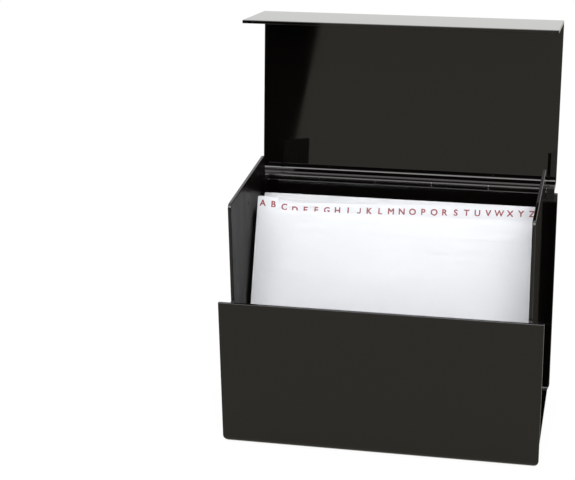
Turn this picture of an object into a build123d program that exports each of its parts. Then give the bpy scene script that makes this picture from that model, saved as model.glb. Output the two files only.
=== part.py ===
from build123d import *
import math
import os

# Index card box: a U-shaped body bent from one sheet, two inset side walls, and a bent
# lid on a rod hinge along the top of the back. A leaning set of guide cards with stepped
# tabs stands in it, with one plain card behind them.
#
# Millimetres. +X is the user's right, +Y is the back, +Z is up.
# The origin is the centre of the underside. The lid is modelled open.

# ---- Driving dimensions: cards ----
card_width = 208.5
guide_height = 167.5     # guide card without its tab
tab_height = 9.5
tab_corner = 1.0
card_sheet = 0.3         # thickness of a card
card_step = 0.83         # from one card's foot to the next
card_clearance = 0.05    # cards above the floor
first_foot = 6.5         # front panel's outside face to the foot of the first guide
top_gap = 22.3           # top of the plain card to the back panel, cards leaning back
upright_step = 0.3       # degrees, the first guides stand a little straighter
first_lifts = (4.5, 3.7, 1.9)   # the first guides are pulled up out of the row by this
letters = "abcdefghijklmnopqrstuvwxyz"

# ---- Driving dimensions: body ----
card_side_gap = 2.0      # card to side wall, each side
head_room = 10.0         # over an upright card, lid closed
depth = 127.0            # outside of front panel to outside of back panel
front_height = 114.2     # front panel, which stops well below the side walls
sheet = 2.5              # thickness of every plastic sheet
wall_inset = 8.75        # side walls stand this far in from the flange edges
bend_radius = 5.0        # outside radius of every bend
corner_radius = 6.0      # lower corners of the front and back panels
edge_round = 0.4         # softened sheet edges

# ---- Driving dimensions: lid and hinge ----
lid_inset = 2.5          # the lid is narrower than the body by this, each side
rear_lip = 20.0          # depth of the lid's short rear lip
seam = 0.6               # gap between the lid's front lip and the front panel
open_angle = 98.5        # how far the lid swings back from closed
knuckle_radius = 2.5
hinge_gap = 0.3          # running gap round and between knuckles
rod_radius = 1.0
rod_clearance = 0.06     # radial, rod to bore
knuckle_count = 5        # odd: the lid has the first, the last and every second one
block_depth = 4.0        # hinge blocks stand this far in front of the back panel
block_drop = 9.0         # height of a hinge block
wall_gap = 0.2           # hinge block to side wall
rod_recess = 0.1         # rod ends inside the hinge blocks' outer faces

# ---- Driving dimensions: side walls ----
lid_gap = 0.3            # closed lid above the side walls
lip_relief = 2.0         # upper front edge set back, for the lid's lip to swing past
seat_gap = 0.4           # lower corners of the wall clear the bends by this
wall_corner = 4.0        # rounded upper front corner of a side wall
notch_depth = 11.0       # cut-out in the wall's upper rear corner, for the hinge

# ---- Derived places ----
card_height = guide_height + tab_height
width = card_width + 2 * (card_side_gap + sheet + wall_inset)   # over the flanges
height = card_height + head_room + 2 * sheet                    # to the closed lid's top
front_y = -depth / 2
back_y = depth / 2
front_inner_y = front_y + sheet
back_inner_y = back_y - sheet
side_x = width / 2 - wall_inset             # outer face of a side wall
wall_top = height - sheet - lid_gap
lip_end = height - rear_lip                 # lower end of the rear lip, lid closed
knuckle_reach = knuckle_radius + hinge_gap  # hinge axis to either sheet edge
axis_y = back_y - sheet / 2
axis_z = lip_end - knuckle_reach
back_height = axis_z - knuckle_reach
last_foot = first_foot + card_step * len(letters)
lean_run = depth - sheet - top_gap - last_foot
lean = math.degrees(math.asin(lean_run / card_height))
foot_z = sheet + card_clearance + card_sheet * lean_run / card_height


def lid_open(shape):
    """Swing a shape from the closed lid position to the open one."""
    hinge = Location((0, axis_y, axis_z))
    return hinge * Rot(-open_angle, 0, 0) * hinge.inverse() * shape


def along_x(face, length, centre=0.0):
    """Extrude a YZ face along X, centred on the given X."""
    solid = extrude(face, amount=length / 2, both=True)
    return Pos(centre, 0, 0) * solid


def bent_channel(points, span):
    """A bent sheet: the open line through the points, thickened inwards, with bends."""
    line = FilletPolyline(*points, radius=bend_radius - sheet / 2)
    face = Plane.YZ * trace(line, line_width=sheet)
    return along_x(face, span)


def soften_ends(solid):
    """Round the edges round a sheet's two ends."""
    ends = solid.faces().filter_by(Axis.X)
    return fillet([edge for face in ends for edge in face.edges()], edge_round)


def body_shell():
    """Front panel, floor and back panel, bent from one sheet."""
    mid = sheet / 2
    shell = bent_channel(
        [(front_y + mid, front_height), (front_y + mid, mid),
         (back_y - mid, mid), (back_y - mid, back_height)], width)
    tall = 2 * height
    outline = Rectangle(width, tall, align=(Align.CENTER, Align.MIN))
    outline = fillet(outline.vertices().group_by(Axis.Y)[0], corner_radius)
    trim = extrude(Plane.XZ * outline, amount=depth, both=True)
    return shell & trim


def lid():
    """Top, deep front lip and short rear lip, bent from one sheet, swung open."""
    mid = sheet / 2
    sheet_shape = bent_channel(
        [(front_y + mid, front_height + seam), (front_y + mid, height - mid),
         (back_y - mid, height - mid), (back_y - mid, lip_end)], width - 2 * lid_inset)
    return lid_open(soften_ends(sheet_shape))


def side_wall(side):
    """Flat wall that stands on the floor between the front and back panels."""
    notch_y = back_inner_y - notch_depth
    relief_y = front_inner_y + lip_relief
    outline = Polyline(
        (front_inner_y, sheet), (back_inner_y, sheet), (back_inner_y, back_height),
        (notch_y, back_height), (notch_y, wall_top), (relief_y, wall_top),
        (relief_y, front_height), (front_inner_y, front_height), close=True)
    face = make_face(outline)
    lower = face.vertices().group_by(Axis.Y)[0]
    face = fillet(lower, bend_radius - sheet + seat_gap)
    upper_front = face.vertices().group_by(Axis.Y)[-1].sort_by(Axis.X)[0]
    face = fillet(upper_front, wall_corner)
    return along_x(Plane.YZ * face, sheet, side * (side_x - sheet / 2))


def bore(length, centre):
    """The clearance hole for the hinge rod."""
    hole = Cylinder(rod_radius + rod_clearance, length)
    return Pos(centre, axis_y, axis_z) * Rot(0, 90, 0) * hole


def barrel(length, centre):
    """The round part of a knuckle."""
    return Pos(centre, axis_y, axis_z) * Rot(0, 90, 0) * Cylinder(knuckle_radius, length)


def knuckle_places():
    """Centre and length of each knuckle between the two side walls' outer faces."""
    pitch = 2 * side_x / knuckle_count
    length = pitch - hinge_gap
    return [(-side_x + pitch * (i + 0.5), length) for i in range(knuckle_count)]


def knuckle(centre, length, upwards):
    """A barrel with a web that reaches the edge of the sheet it is fixed to."""
    reach = knuckle_reach if upwards else -knuckle_reach
    web = Pos(centre, axis_y, axis_z + reach / 2) * Box(length, sheet, abs(reach))
    return barrel(length, centre) + web - bore(2 * length, centre)


def hinge_block(side):
    """Bearing in the recess outside a side wall; it carries one end of the rod."""
    length = wall_inset - lid_inset - wall_gap
    centre = side * (side_x + wall_gap + length / 2)
    top = axis_z + knuckle_radius
    front = back_inner_y - block_depth
    face_box = Pos(centre, (front + back_inner_y) / 2, top - block_drop / 2)
    face_box *= Box(length, block_depth, block_drop)
    bridge = Pos(centre, (back_inner_y + axis_y) / 2, (back_height + top) / 2)
    bridge *= Box(length, axis_y - back_inner_y, top - back_height)
    web = Pos(centre, axis_y, (back_height + axis_z) / 2)
    web *= Box(length, sheet, axis_z - back_height)
    return face_box + bridge + web + barrel(length, centre) - bore(2 * length, centre)


def hinge_rod():
    """Steel rod through every knuckle and both hinge blocks."""
    length = width - 2 * (lid_inset + rod_recess)
    rod = Rot(0, 90, 0) * Cylinder(rod_radius, length)
    rod = chamfer(rod.edges().filter_by(GeomType.CIRCLE), rod_radius / 4)
    return Pos(0, axis_y, axis_z) * rod


def guide_lean(index):
    """Lean of one guide in degrees; the first few stand straighter."""
    return lean - upright_step * max(0, len(first_lifts) - index)


def foot_y(index):
    """Front face of a guide at the floor."""
    return front_y + first_foot + card_step * index


def leaning(face, index):
    """Extrude a card outline to its thickness and stand it, leaning back, on its foot."""
    card = extrude(Plane.XZ * face, amount=-card_sheet)
    lift = first_lifts[index] if index < len(first_lifts) else 0
    slope = Rot(-guide_lean(index), 0, 0) * Pos(0, 0, lift)
    return Pos(0, foot_y(index), foot_z) * slope * card


def guide_card(index):
    """Guide card with one tab; the tabs step across the width in letter order."""
    tab_width = card_width / len(letters)
    left = -card_width / 2 + tab_width * index
    body = Rectangle(card_width, guide_height, align=(Align.CENTER, Align.MIN))
    tab = Rectangle(tab_width, tab_height, align=(Align.MIN, Align.MIN))
    tab = fillet(tab.vertices().group_by(Axis.Y)[-1], tab_corner)
    return leaning(body + Pos(left, guide_height) * tab, index)


def back_card():
    """Plain full-height card behind the last guide."""
    face = Rectangle(card_width, card_height, align=(Align.CENTER, Align.MIN))
    return leaning(face, len(letters))


def build():
    """Every node of the box by name."""
    nodes = {"body_shell": body_shell(), "lid": lid()}
    for name, side in (("left", -1), ("right", 1)):
        nodes[f"side_wall_{name}"] = side_wall(side)
        nodes[f"hinge_block_{name}"] = hinge_block(side)
    for i, (centre, length) in enumerate(knuckle_places()):
        if i % 2 == 0:
            nodes[f"lid_knuckle_{i // 2 + 1}"] = lid_open(knuckle(centre, length, True))
        else:
            nodes[f"body_knuckle_{i // 2 + 1}"] = knuckle(centre, length, False)
    nodes["hinge_rod"] = hinge_rod()
    for i, letter in enumerate(letters):
        nodes[f"guide_card_{letter}"] = guide_card(i)
    nodes["back_card"] = back_card()
    return nodes


os.makedirs("parts", exist_ok=True)
for node, shape in build().items():
    export_step(shape, f"parts/{node}.step")
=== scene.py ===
import math
import bmesh
import bpy
from mathutils import Matrix, Vector

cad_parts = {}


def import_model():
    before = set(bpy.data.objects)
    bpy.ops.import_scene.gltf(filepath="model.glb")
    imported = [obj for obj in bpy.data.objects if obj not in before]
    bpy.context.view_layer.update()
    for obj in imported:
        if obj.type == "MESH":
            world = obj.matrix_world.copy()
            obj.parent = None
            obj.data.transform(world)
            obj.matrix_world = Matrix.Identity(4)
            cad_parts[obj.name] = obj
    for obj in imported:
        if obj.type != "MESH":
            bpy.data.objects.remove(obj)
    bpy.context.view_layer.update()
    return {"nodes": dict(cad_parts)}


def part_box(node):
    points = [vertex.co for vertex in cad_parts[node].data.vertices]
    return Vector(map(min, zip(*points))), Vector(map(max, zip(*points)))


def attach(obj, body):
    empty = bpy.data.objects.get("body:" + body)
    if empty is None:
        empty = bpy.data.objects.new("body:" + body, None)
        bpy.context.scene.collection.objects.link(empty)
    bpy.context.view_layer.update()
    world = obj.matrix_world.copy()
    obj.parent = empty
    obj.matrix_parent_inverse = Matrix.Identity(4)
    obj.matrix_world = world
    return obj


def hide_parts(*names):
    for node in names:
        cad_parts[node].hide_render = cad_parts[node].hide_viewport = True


# Looks of an open index card box in glossy black sheet plastic, with lettered guide cards.
# Metres, +X right, +Y back, +Z up, origin at the centre of the underside.

MM = 0.001

# ---- Plastic sheets ----
SHEET = 2.5 * MM             # thickness
BEND = 5.0 * MM              # outside radius of the bends
BEND_STEPS = 10
PANEL_CORNER = 6.0 * MM      # lower corners of the front and back panels
EDGE = 0.45 * MM             # softened edges
EDGE_SEGMENTS = 3
EDGE_ANGLE = math.radians(35)
HEIGHT = 192.0 * MM          # to the top of the closed lid
FRONT_HEIGHT = 114.2 * MM    # front panel
LID_SEAM = 0.6 * MM          # gap between the lid's front lip and the front panel
REAR_LIP = 20.0 * MM         # depth of the lid's rear lip
OPEN_ANGLE = math.radians(98.5)
HINGE_REACH = 2.8 * MM       # hinge axis to the sheet edges of the lid and the body
LIP_RELIEF = 2.0 * MM        # side wall's upper front edge, set back for the lid's lip
SEAT_GAP = 0.4 * MM          # side wall's lower corners, clear of the bends
SEAT_STEPS = 6
WALL_CORNER = 4.0 * MM       # side wall's upper front corner
WALL_CORNER_STEPS = 8
NOTCH = 11.0 * MM            # side wall's cut-out at the hinge
FACING = 0.9                 # a face looks inwards when its normal does by this much

# ---- Cards ----
LETTERS = "abcdefghijklmnopqrstuvwxyz"
CARD_GROUPS = {"guides_a_e": "abcde", "guides_f_j": "fghij", "guides_k_o": "klmno",
               "guides_p_t": "pqrst", "guides_u_z": "uvwxyz"}
CARD_WIDTH = 208.5 * MM
GUIDE_HEIGHT = 167.5 * MM    # guide card without its tab
TAB_HEIGHT = 9.5 * MM
TAB_CORNER = 1.0 * MM
TAB_CORNER_STEPS = 3
CARD_SHEET = 0.3 * MM        # thickness of a card
CARD_STEP = 0.83 * MM        # from one card's foot to the next
CARD_CLEARANCE = 0.05 * MM   # cards above the floor
FIRST_FOOT = 6.5 * MM        # front panel's outside face to the foot of the first guide
TOP_GAP = 22.3 * MM          # top of the plain card to the back panel
UPRIGHT_STEP = math.radians(0.3)                # the first guides stand straighter
FIRST_LIFTS = (4.5 * MM, 3.7 * MM, 1.9 * MM)    # and are pulled up out of the row
CARD_BOW = 1.0 * MM          # the middle of a card stands forward of a straight line
CARD_ROWS = 48               # strips that a card's bow is made of
CARD_EDGE_ANGLE = math.radians(30)
CARD_HEIGHT = GUIDE_HEIGHT + TAB_HEIGHT

# ---- Lettering ----
LETTER_HEIGHT = 4.5 * MM
LETTER_DROP = 5.2 * MM       # top of a tab to the middle of its letter
INK_GAP = 0.03 * MM          # ink in front of the card
INK_FLATNESS = 0.08
LETTER_WEIGHT = 0.030        # added round each stroke, in font units
LETTER_STEPS = 6
J_WEIGHT = 0.063             # half the J's stroke, in font units
J_HOOK = 0.16                # radius of the J's hook, in font units
J_HOOK_END = -170            # degrees
J_HOOK_STEPS = 12

# ---- Studio ----
STUDIO_FRONT = (0.60, 0.575, 0.495)      # what reflections see in front of the box
STUDIO_BACK = (1.06, 1.06, 1.04)         # and behind it
STUDIO_TURN = (-0.5, 0.9)                # Y directions between which one turns to the other
FLOOR_REACH = 2.4
FLOOR_LEVEL = -0.3 * MM
FLOOR_COLOUR = (0.82, 0.82, 0.82)
FLOOR_GLEAM = (0.49, 0.455, 0.375)       # the floor's glow, as reflections see it
FLOOR_GLOW = 0.90                        # its share of what the floor shows
FILL = 0.80                              # light from all round
FLAG_SLANT = 0.174                       # the dark flag's sides lean by this
FLAG_NEAR = (0.197, 0.199)               # its sharp side, as sideways over forwards
FLAG_FAR = (0.50, 0.62)                  # its soft side
FLAG_END = (-0.75, -0.6)                 # Y directions between which it ends
LEAST_FORWARD = -0.2                     # keeps sideways over forwards finite
LIGHT_AIM = (0, 0, 0.12)
KEY_AT = (0.1, -1.5, 1.6)
KEY_SIZE = (1.9, 1.5)
KEY_POWER = 57                           # watts
OVERHEAD_AT = (0.3, 0.2, 2.0)
OVERHEAD_SIZE = (1.6, 1.6)
OVERHEAD_POWER = 18

# ---- Camera, fitted to the photograph's edges ----
CAMERA_AT = (0.16692, -1.11117, 0.59558)
CAMERA_PITCH = math.radians(-21.789)
CAMERA_YAW = math.radians(12.46)         # to the left
CAMERA_ROLL = math.radians(-1.229)
CAMERA_LENS = 102.2
SENSOR = 36.0
CLIP_END = 50

# ---- Places taken from the frame ----
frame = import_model()
shell_low, shell_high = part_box("body_shell")
FRONT, BACK = shell_low.y, shell_high.y
HALF = shell_high.x
BACK_HEIGHT = shell_high.z
LID_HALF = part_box("lid")[1].x
AXIS_Y = BACK - SHEET / 2
AXIS_Z = HEIGHT - REAR_LIP - HINGE_REACH
LAST_FOOT = FIRST_FOOT + CARD_STEP * len(LETTERS)
LEAN_RUN = BACK - FRONT - SHEET - TOP_GAP - LAST_FOOT
LEAN = math.asin(LEAN_RUN / CARD_HEIGHT)
FOOT_LEVEL = SHEET + CARD_CLEARANCE + CARD_SHEET * LEAN_RUN / CARD_HEIGHT


# ---- Node helpers ----

MIX_FIRST, MIX_SECOND, MIX_RESULT = 6, 7, 2     # places of a mix node's colour sockets


class Graph:
    """A small wrapper for building the node tree of a material or world."""

    def __init__(self, owner):
        owner.use_nodes = True
        self.tree = owner.node_tree

    def add(self, kind, **settings):
        node = self.tree.nodes.new(kind)
        for key, value in settings.items():
            setattr(node, key, value)
        return node

    def link(self, source, target):
        self.tree.links.new(source, target)

    def feed(self, socket, value):
        """Link a value that comes from a node, or set a plain number or colour."""
        if isinstance(value, bpy.types.NodeSocket):
            self.link(value, socket)
        elif isinstance(value, tuple):
            socket.default_value = (*value, 1)
        else:
            socket.default_value = value

    def remap(self, value, low, high, out_low=0.0, out_high=1.0, kind="LINEAR"):
        node = self.add("ShaderNodeMapRange", interpolation_type=kind)
        for key, number in zip(("From Min", "From Max", "To Min", "To Max"),
                               (low, high, out_low, out_high)):
            node.inputs[key].default_value = number
        self.link(value, node.inputs["Value"])
        return node.outputs["Result"]

    def math(self, operation, first, second):
        node = self.add("ShaderNodeMath", operation=operation)
        self.feed(node.inputs[0], first)
        self.feed(node.inputs[1], second)
        return node.outputs[0]

    def blend(self, factor, first, second):
        node = self.add("ShaderNodeMix", data_type="RGBA")
        self.link(factor, node.inputs["Factor"])
        self.feed(node.inputs[MIX_FIRST], first)
        self.feed(node.inputs[MIX_SECOND], second)
        return node.outputs[MIX_RESULT]


class Finish(Graph):
    """A material on one Principled shader, with noise that is fixed to the object."""

    def __init__(self, name):
        self.material = bpy.data.materials.new(name)
        super().__init__(self.material)
        self.shader = self.tree.nodes["Principled BSDF"]
        self.place = self.add("ShaderNodeTexCoord").outputs["Object"]

    def noise(self, scale, detail=2.0, rough=0.5, stretch=(1, 1, 1)):
        mapping = self.add("ShaderNodeMapping")
        mapping.inputs["Scale"].default_value = stretch
        self.link(self.place, mapping.inputs["Vector"])
        node = self.add("ShaderNodeTexNoise")
        node.inputs["Scale"].default_value = scale
        node.inputs["Detail"].default_value = detail
        node.inputs["Roughness"].default_value = rough
        self.link(mapping.outputs["Vector"], node.inputs["Vector"])
        return node.outputs["Fac"]

    def bump(self, height, strength, distance):
        node = self.add("ShaderNodeBump")
        node.inputs["Strength"].default_value = strength
        node.inputs["Distance"].default_value = distance
        self.link(height, node.inputs["Height"])
        return node.outputs["Normal"]

    def set(self, **sockets):
        for key, value in sockets.items():
            self.feed(self.shader.inputs[key.replace("_", " ")], value)
        return self.material


# ---- Materials ----

def gloss_black():
    """Polished black sheet plastic: near-black body colour, a mirror gloss with slight
    waviness, faint wiping marks and fine hairlines in the roughness."""
    g = Finish("gloss_black")
    tone = g.blend(g.noise(9.0, 3.0), (0.0011, 0.0009, 0.0008), (0.0017, 0.0014, 0.0012))
    wipes = g.remap(g.noise(14.0, 4.0, 0.6, (1.0, 1.0, 2.2)), 0.35, 0.75, 0.0, 0.022)
    hairs = g.remap(g.noise(60.0, 2.0, 0.5, (0.4, 14.0, 14.0)), 0.60, 0.72, 0.0, 0.03)
    rough = g.math("ADD", g.math("ADD", wipes, hairs), 0.02)
    wave = g.bump(g.noise(12.0, 1.0, 0.4), 0.015, 0.3 * MM)
    return g.set(Base_Color=tone, Roughness=rough, Normal=wave, IOR=1.49)


def satin_black():
    """The inner faces of the side walls, rubbed dull by the cards."""
    g = Finish("satin_black")
    tone = g.blend(g.noise(30.0, 4.0), (0.0026, 0.0022, 0.0019), (0.0050, 0.0043, 0.0038))
    scuffs = g.remap(g.noise(45.0, 4.0, 0.6, (1.0, 1.0, 0.25)), 0.35, 0.75, 0.26, 0.38)
    wave = g.bump(g.noise(40.0, 3.0), 0.06, 0.3 * MM)
    return g.set(Base_Color=tone, Roughness=scuffs, Normal=wave, IOR=1.49,
                 Specular_IOR_Level=0.03)


def hinge_black():
    """Moulded black plastic of the hinge parts: less gloss, a fine grain."""
    g = Finish("hinge_black")
    tone = g.blend(g.noise(120.0, 3.0), (0.0025, 0.0022, 0.0020), (0.0045, 0.0040, 0.0036))
    rough = g.remap(g.noise(300.0, 3.0), 0.3, 0.7, 0.12, 0.22)
    grain = g.bump(g.noise(2200.0, 2.0, 0.6), 0.25, 0.04 * MM)
    return g.set(Base_Color=tone, Roughness=rough, Normal=grain, IOR=1.5,
                 Specular_IOR_Level=0.3)


def drawn_steel():
    """Drawn steel rod with fine rings."""
    g = Finish("drawn_steel")
    rings = g.noise(1500.0, 2.0, 0.5, (1.0, 0.05, 0.05))
    tone = g.blend(rings, (0.42, 0.42, 0.43), (0.62, 0.62, 0.62))
    rough = g.remap(rings, 0.3, 0.7, 0.22, 0.38)
    return g.set(Base_Color=tone, Roughness=rough, Metallic=1.0,
                 Normal=g.bump(rings, 0.2, 0.03 * MM))


def card_stock():
    """White coated card: faint cool mottling, fine fibre tooth and a slight gloss."""
    g = Finish("card_stock")
    mottle = g.remap(g.noise(26.0, 5.0, 0.6), 0.3, 0.7)
    tone = g.blend(mottle, (0.815, 0.825, 0.850), (0.840, 0.848, 0.868))
    rough = g.remap(g.noise(240.0, 3.0), 0.3, 0.7, 0.36, 0.50)
    fibre = g.bump(g.noise(1400.0, 4.0, 0.65, (1.0, 0.5, 1.0)), 0.22, 0.03 * MM)
    return g.set(Base_Color=tone, Roughness=rough, Normal=fibre, IOR=1.45)


def red_ink():
    """Printed dark red ink, a little uneven."""
    g = Finish("red_ink")
    tone = g.blend(g.noise(700.0, 3.0), (0.19, 0.026, 0.032), (0.26, 0.038, 0.044))
    rough = g.remap(g.noise(500.0), 0.3, 0.7, 0.40, 0.55)
    return g.set(Base_Color=tone, Roughness=rough)


PLASTIC = gloss_black()
RUBBED = satin_black()
HINGE = hinge_black()
STEEL = drawn_steel()
CARD = card_stock()
INK = red_ink()


# ---- Mesh helpers ----

def make_object(name, mesh, material, body, slot, *replaced):
    """Add a finished mesh to the scene as a piece that rides on a body."""
    piece = bpy.data.objects.new(name, mesh)
    bpy.context.scene.collection.objects.link(piece)
    mesh.materials.clear()
    mesh.materials.append(material)
    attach(piece, body)
    if replaced:
        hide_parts(*replaced)
    return piece


def mesh_from(name, build):
    """A mesh from a function that fills a bmesh."""
    grown = bmesh.new()
    build(grown)
    bmesh.ops.recalc_face_normals(grown, faces=grown.faces)
    mesh = bpy.data.meshes.new(name)
    grown.to_mesh(mesh)
    grown.free()
    return mesh


def soften(piece):
    """Bevel a sheet's sharp edges and shade it smooth, with flat faces kept flat."""
    bevel = piece.modifiers.new("edges", "BEVEL")
    bevel.width = EDGE
    bevel.segments = EDGE_SEGMENTS
    bevel.limit_method = "ANGLE"
    bevel.angle_limit = EDGE_ANGLE
    bevel.use_clamp_overlap = True
    bevel.harden_normals = True
    piece.data.shade_smooth()


def arc(centre, radius, start, end, steps):
    """Points on an arc in the YZ plane, angles in degrees from +Y towards +Z."""
    turn = [math.radians(start + (end - start) * i / steps) for i in range(steps + 1)]
    return [(centre[0] + radius * math.cos(a), centre[1] + radius * math.sin(a))
            for a in turn]


def bent_sheet(outer, inner, half_width):
    """Fill a bmesh with a sheet between two equally long profiles; half_width(z) gives
    how far it reaches to each side."""
    def fill(grown):
        rings = []
        for side in (-1, 1):
            rings.append([[grown.verts.new((side * half_width(z), y, z)) for y, z in line]
                          for line in (outer, inner)])
        (left_out, left_in), (right_out, right_in) = rings
        last = len(outer) - 1
        for i in range(last):
            grown.faces.new((left_out[i], left_out[i + 1], right_out[i + 1], right_out[i]))
            grown.faces.new((left_in[i + 1], left_in[i], right_in[i], right_in[i + 1]))
            grown.faces.new((left_out[i + 1], left_out[i], left_in[i], left_in[i + 1]))
            grown.faces.new((right_out[i], right_out[i + 1], right_in[i + 1], right_in[i]))
        for i in (0, last):
            grown.faces.new((left_out[i], right_out[i], right_in[i], left_in[i]))
    return fill


def channel(front_end, back_end, turn_level, up):
    """Outer and inner profiles of a sheet bent at two corners: down the front panel,
    along the floor and up the back, or the same upside down for a lid. A point beside
    each bend keeps the flat stretches flat where the shading is smooth."""
    middle = turn_level + up * BEND
    beside = turn_level + up * PANEL_CORNER
    outer = [(FRONT, front_end), (FRONT, beside)]
    inner = [(FRONT + SHEET, front_end), (FRONT + SHEET, beside)]
    for centre_y, start in ((FRONT + BEND, 180), (BACK - BEND, 270 if up > 0 else 90)):
        turn = (start, start + 90 * up, BEND_STEPS)
        outer += arc((centre_y, middle), BEND, *turn)
        inner += arc((centre_y, middle), BEND - SHEET, *turn)
        if centre_y < 0:
            outer += [(FRONT + PANEL_CORNER, turn_level), (BACK - PANEL_CORNER, turn_level)]
            inner += [(y, turn_level + up * SHEET) for y, z in outer[-2:]]
    outer += [(BACK, beside), (BACK, back_end)]
    inner += [(BACK - SHEET, beside), (BACK - SHEET, back_end)]
    return outer, inner


def body_width(z):
    """Half the body's width at a height: the lower corners are rounded."""
    if z >= PANEL_CORNER:
        return HALF
    drop = PANEL_CORNER - z
    return HALF - PANEL_CORNER + math.sqrt(PANEL_CORNER ** 2 - drop ** 2)


def open_lid(mesh):
    """Swing a mesh from the closed lid position to the open one."""
    hinge = Matrix.Translation((0, AXIS_Y, AXIS_Z))
    mesh.transform(hinge @ Matrix.Rotation(-OPEN_ANGLE, 4, "X") @ hinge.inverted())


def prism(outline, low_x, high_x):
    """Fill a bmesh with a flat YZ outline between two X positions."""
    def fill(grown):
        sides = [[grown.verts.new((x, y, z)) for y, z in outline] for x in (low_x, high_x)]
        grown.faces.new(sides[0])
        grown.faces.new(reversed(sides[1]))
        count = len(outline)
        for i in range(count):
            j = (i + 1) % count
            grown.faces.new((sides[0][i], sides[0][j], sides[1][j], sides[1][i]))
    return fill


# ---- Plastic sheets ----

def body_sheet():
    """Front panel, floor and back panel in one bent sheet."""
    outer, inner = channel(FRONT_HEIGHT, BACK_HEIGHT, 0.0, 1)
    mesh = mesh_from("body_sheet", bent_sheet(outer, inner, body_width))
    soften(make_object("body_sheet", mesh, PLASTIC, "box", "black_plastic", "body_shell"))


def lid_sheet():
    """Lid with its front and rear lips in one bent sheet, swung open."""
    outer, inner = channel(FRONT_HEIGHT + LID_SEAM, HEIGHT - REAR_LIP, HEIGHT, -1)
    mesh = mesh_from("lid_sheet", bent_sheet(outer, inner, lambda z: LID_HALF))
    open_lid(mesh)
    soften(make_object("lid_sheet", mesh, PLASTIC, "lid", "black_plastic", "lid"))


def wall_outline():
    """Outline of a side wall, with seats for the bends, a relieved upper front edge and a
    notch at the hinge."""
    low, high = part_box("side_wall_left")
    front, back, top = low.y, high.y, high.z
    seat = BEND - SHEET + SEAT_GAP
    relief = front + LIP_RELIEF
    notch = BACK - SHEET - NOTCH
    points = arc((front + seat, low.z + seat), seat, 180, 270, SEAT_STEPS)
    points += arc((back - seat, low.z + seat), seat, 270, 360, SEAT_STEPS)
    points += [(back, BACK_HEIGHT), (notch, BACK_HEIGHT), (notch, top)]
    points += arc((relief + WALL_CORNER, top - WALL_CORNER), WALL_CORNER, 90, 180,
                  WALL_CORNER_STEPS)
    points += [(relief, FRONT_HEIGHT), (front, FRONT_HEIGHT)]
    return points


def side_sheets():
    """Side walls, glossy with a dull inner face."""
    for side, inwards in (("left", 1), ("right", -1)):
        low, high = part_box(f"side_wall_{side}")
        mesh = mesh_from(f"wall_sheet_{side}", prism(wall_outline(), low.x, high.x))
        piece = make_object(f"wall_sheet_{side}", mesh, PLASTIC, "box", "black_plastic",
                            f"side_wall_{side}")
        mesh.materials.append(RUBBED)
        for face in mesh.polygons:
            if face.normal.x * inwards > FACING:
                face.material_index = 1
        soften(piece)


# ---- Cards ----

def card_frame(index):
    """Matrix that stands card coordinates (across, thickness, up the card) in the box."""
    lean = LEAN - UPRIGHT_STEP * max(0, len(FIRST_LIFTS) - index)
    lift = FIRST_LIFTS[index] if index < len(FIRST_LIFTS) else 0.0
    foot = Matrix.Translation((0, FRONT + FIRST_FOOT + CARD_STEP * index, FOOT_LEVEL))
    return foot @ Matrix.Rotation(-lean, 4, "X") @ Matrix.Translation((0, 0, lift))


def bow_at(up):
    """How far a card's surface stands forward at a height up the card."""
    return -CARD_BOW * math.sin(math.pi * min(1.0, up / CARD_HEIGHT))


def card_mesh(name, index, tab_left, tab_right):
    """A thin bowed card with one tab."""
    half = CARD_WIDTH / 2
    cuts = sorted({-half, tab_left, tab_right, half})

    def fill(grown):
        rows = [[grown.verts.new((x, 0, GUIDE_HEIGHT * i / CARD_ROWS)) for x in cuts]
                for i in range(CARD_ROWS + 1)]
        first = cuts.index(tab_left)
        last_row = rows[-1][first:first + 2]
        for low, high in zip(rows, rows[1:]):
            for k in range(len(cuts) - 1):
                grown.faces.new((low[k], low[k + 1], high[k + 1], high[k]))
        for step in range(TAB_CORNER_STEPS + 1):
            angle = math.radians(90 * step / TAB_CORNER_STEPS)
            inset = TAB_CORNER * (1 - math.cos(angle))
            up = CARD_HEIGHT - TAB_CORNER * (1 - math.sin(angle))
            row = [grown.verts.new((tab_left + inset, 0, up)),
                   grown.verts.new((tab_right - inset, 0, up))]
            grown.faces.new((last_row[0], last_row[1], row[1], row[0]))
            last_row = row
        bmesh.ops.solidify(grown, geom=grown.faces[:], thickness=CARD_SHEET)
        nearest = min(v.co.y for v in grown.verts)
        for v in grown.verts:
            v.co.y += bow_at(v.co.z) - nearest

    mesh = mesh_from(name, fill)
    mesh.transform(card_frame(index))
    mesh.shade_smooth()
    mesh.set_sharp_from_angle(angle=CARD_EDGE_ANGLE)
    return mesh


def cards():
    """Every guide card with its printed letter, and the plain card behind them."""
    tab = CARD_WIDTH / len(LETTERS)
    for body, members in CARD_GROUPS.items():
        for letter in members:
            index = LETTERS.index(letter)
            left = -CARD_WIDTH / 2 + tab * index
            mesh = card_mesh(f"card_{letter}", index, left, left + tab)
            make_object(f"card_{letter}", mesh, CARD, body, "card", f"guide_card_{letter}")
            ink = letter_mesh(letter, index, left + tab / 2)
            make_object(f"letter_{letter}", ink, INK, body, "card")
    mesh = card_mesh("card_plain", len(LETTERS), -CARD_WIDTH / 2, CARD_WIDTH / 2)
    make_object("card_plain", mesh, CARD, "guides_u_z", "card", "back_card")


# ---- Lettering ----

def capital_height():
    """Height of a capital in the built-in lettering, at size 1."""
    curve = bpy.data.curves.new("gauge", "FONT")
    curve.body = "H"
    maker = bpy.data.objects.new("gauge", curve)
    bpy.context.scene.collection.objects.link(maker)
    bpy.context.view_layer.update()
    tall = maker.dimensions.y
    bpy.data.objects.remove(maker)
    bpy.data.curves.remove(curve)
    return tall


CAPITAL = capital_height()


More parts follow.
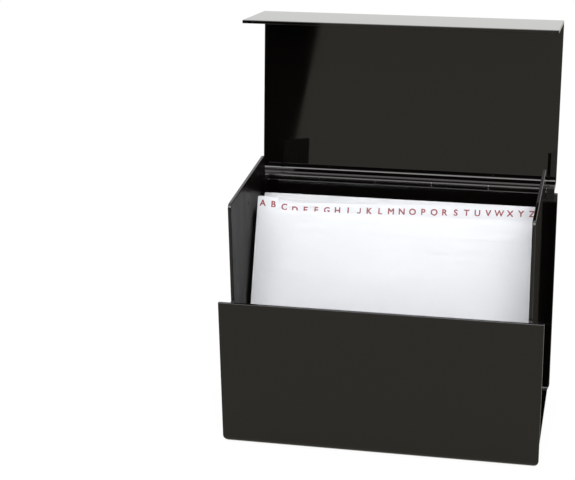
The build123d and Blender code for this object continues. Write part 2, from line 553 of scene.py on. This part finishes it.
def hooked_j():
    """A capital J with a hook, which the built-in lettering's J lacks."""
    curve = bpy.data.curves.new("text_j", "CURVE")
    curve.dimensions = "3D"
    hook = arc((0, J_HOOK + J_WEIGHT), J_HOOK, 0, J_HOOK_END, J_HOOK_STEPS)
    line = [(J_HOOK, CAPITAL)] + hook
    spline = curve.splines.new("POLY")
    spline.points.add(len(line) - 1)
    for point, (x, y) in zip(spline.points, line):
        point.co = (x, y, 0, 1)
    curve.bevel_depth = J_WEIGHT
    curve.use_fill_caps = True
    return curve


def plain_capital(letter):
    """A capital in the built-in lettering, made bolder."""
    curve = bpy.data.curves.new(f"text_{letter}", "FONT")
    curve.body = letter.upper()
    curve.bevel_depth = LETTER_WEIGHT
    curve.resolution_u = LETTER_STEPS
    return curve


def letter_mesh(letter, index, centre):
    """A printed capital on a card's tab."""
    curve = hooked_j() if letter == "j" else plain_capital(letter)
    curve.bevel_resolution = 0
    maker = bpy.data.objects.new(f"text_{letter}", curve)
    bpy.context.scene.collection.objects.link(maker)
    graph = bpy.context.evaluated_depsgraph_get()
    mesh = bpy.data.meshes.new_from_object(maker.evaluated_get(graph))
    bpy.data.objects.remove(maker)
    bpy.data.curves.remove(curve)
    xs = [v.co.x for v in mesh.vertices]
    middle = Vector(((min(xs) + max(xs)) / 2, CAPITAL / 2, 0))
    up = CARD_HEIGHT - LETTER_DROP
    flat = Matrix.Diagonal((1, 1, INK_FLATNESS, 1))
    stand = Matrix.Rotation(math.radians(90), 4, "X") @ flat
    place = Matrix.Translation((centre, bow_at(up) - INK_GAP, up))
    mesh.transform(card_frame(index) @ place @ stand
                   @ Matrix.Scale(LETTER_HEIGHT / CAPITAL, 4) @ Matrix.Translation(-middle))
    return mesh


# ---- Hinge parts ----

def hinge_parts():
    """New materials for the knuckles, blocks and rod, which keep the frame's shapes."""
    for name, node in frame["nodes"].items():
        if "knuckle" in name or "hinge_block" in name:
            material = HINGE
        elif name == "hinge_rod":
            material = STEEL
        else:
            continue
        node.data.materials.clear()
        node.data.materials.append(material)


# ---- Studio ----

def floor():
    """Pale floor. The camera sees it almost white, with the box's shadow, and reflections
    see a soft warm grey, much as they see the studio's front."""
    mesh = bpy.data.meshes.new("floor")
    corners = ((-1, -1), (1, -1), (1, 1), (-1, 1))
    mesh.from_pydata([(FLOOR_REACH * x, FLOOR_REACH * y, FLOOR_LEVEL) for x, y in corners],
                     [], [(0, 1, 2, 3)])
    plane = bpy.data.objects.new("floor", mesh)
    bpy.context.scene.collection.objects.link(plane)
    material = bpy.data.materials.new("floor")
    mesh.materials.append(material)
    g = Graph(material)
    g.tree.nodes.clear()
    paper = g.add("ShaderNodeBsdfDiffuse")
    g.feed(paper.inputs["Color"], FLOOR_COLOUR)
    path = g.add("ShaderNodeLightPath")
    seen = paper.outputs[0]
    for ray, colour in (("Is Camera Ray", (1, 1, 1)), ("Is Glossy Ray", FLOOR_GLEAM)):
        glow = g.add("ShaderNodeEmission")
        g.feed(glow.inputs["Color"], colour)
        mix = g.add("ShaderNodeMixShader")
        g.link(g.math("MULTIPLY", path.outputs[ray], FLOOR_GLOW), mix.inputs[0])
        g.link(seen, mix.inputs[1])
        g.link(glow.outputs[0], mix.inputs[2])
        seen = mix.outputs[0]
    g.link(seen, g.add("ShaderNodeOutputMaterial").inputs[0])


def world():
    """White behind the box; for reflections a white studio, warm and dimmer in front of the
    box and brighter behind it, with a dark flag at the front left."""
    light = bpy.data.worlds.new("studio")
    bpy.context.scene.world = light
    g = Graph(light)
    g.tree.nodes.clear()
    soft = "SMOOTHSTEP"
    split = g.add("ShaderNodeSeparateXYZ")
    g.link(g.add("ShaderNodeTexCoord").outputs["Generated"], split.inputs[0])
    x, y, z = split.outputs
    around = g.blend(g.remap(y, *STUDIO_TURN, kind=soft), STUDIO_FRONT, STUDIO_BACK)
    sideways = g.math("DIVIDE", x, g.math("MINIMUM", y, LEAST_FORWARD))
    across = g.math("ADD", sideways, g.math("MULTIPLY", z, FLAG_SLANT))
    flag = g.math("MULTIPLY", g.remap(across, *FLAG_NEAR, kind=soft),
                  g.remap(across, *FLAG_FAR, 1.0, 0.0, kind=soft))
    flag = g.math("MULTIPLY", flag, g.remap(y, *FLAG_END, 1.0, 0.0, kind=soft))
    path = g.add("ShaderNodeLightPath")
    reflected = g.blend(flag, around, (0, 0, 0))
    lit = g.blend(path.outputs["Is Glossy Ray"], (FILL, FILL, FILL), reflected)
    background = g.add("ShaderNodeBackground")
    g.link(g.blend(path.outputs["Is Camera Ray"], lit, (1, 1, 1)),
           background.inputs["Color"])
    g.link(background.outputs[0], g.add("ShaderNodeOutputWorld").inputs[0])


def soft_box(name, at, size, power):
    """A rectangular soft light aimed at the box."""
    data = bpy.data.lights.new(name, "AREA")
    data.shape = "RECTANGLE"
    data.size, data.size_y = size
    data.energy = power
    lamp = bpy.data.objects.new(name, data)
    bpy.context.scene.collection.objects.link(lamp)
    lamp.location = at
    aim = Vector(LIGHT_AIM) - Vector(at)
    lamp.rotation_euler = aim.to_track_quat("-Z", "Y").to_euler()


def camera():
    """The photograph's view, from above the front right."""
    data = bpy.data.cameras.new("camera")
    data.lens = CAMERA_LENS
    data.sensor_width = SENSOR
    data.sensor_fit = "HORIZONTAL"
    data.clip_end = CLIP_END
    view = bpy.data.objects.new("camera", data)
    bpy.context.scene.collection.objects.link(view)
    turn = Matrix.Rotation(CAMERA_YAW, 4, "Z")
    tilt = Matrix.Rotation(math.radians(90) + CAMERA_PITCH, 4, "X")
    roll = Matrix.Rotation(CAMERA_ROLL, 4, "Z")
    view.matrix_world = Matrix.Translation(CAMERA_AT) @ turn @ tilt @ roll
    bpy.context.scene.camera = view


body_sheet()
lid_sheet()
side_sheets()
cards()
hinge_parts()
floor()
world()
soft_box("key", KEY_AT, KEY_SIZE, KEY_POWER)
soft_box("overhead", OVERHEAD_AT, OVERHEAD_SIZE, OVERHEAD_POWER)
camera()
bpy.context.scene.view_settings.view_transform = "Standard"
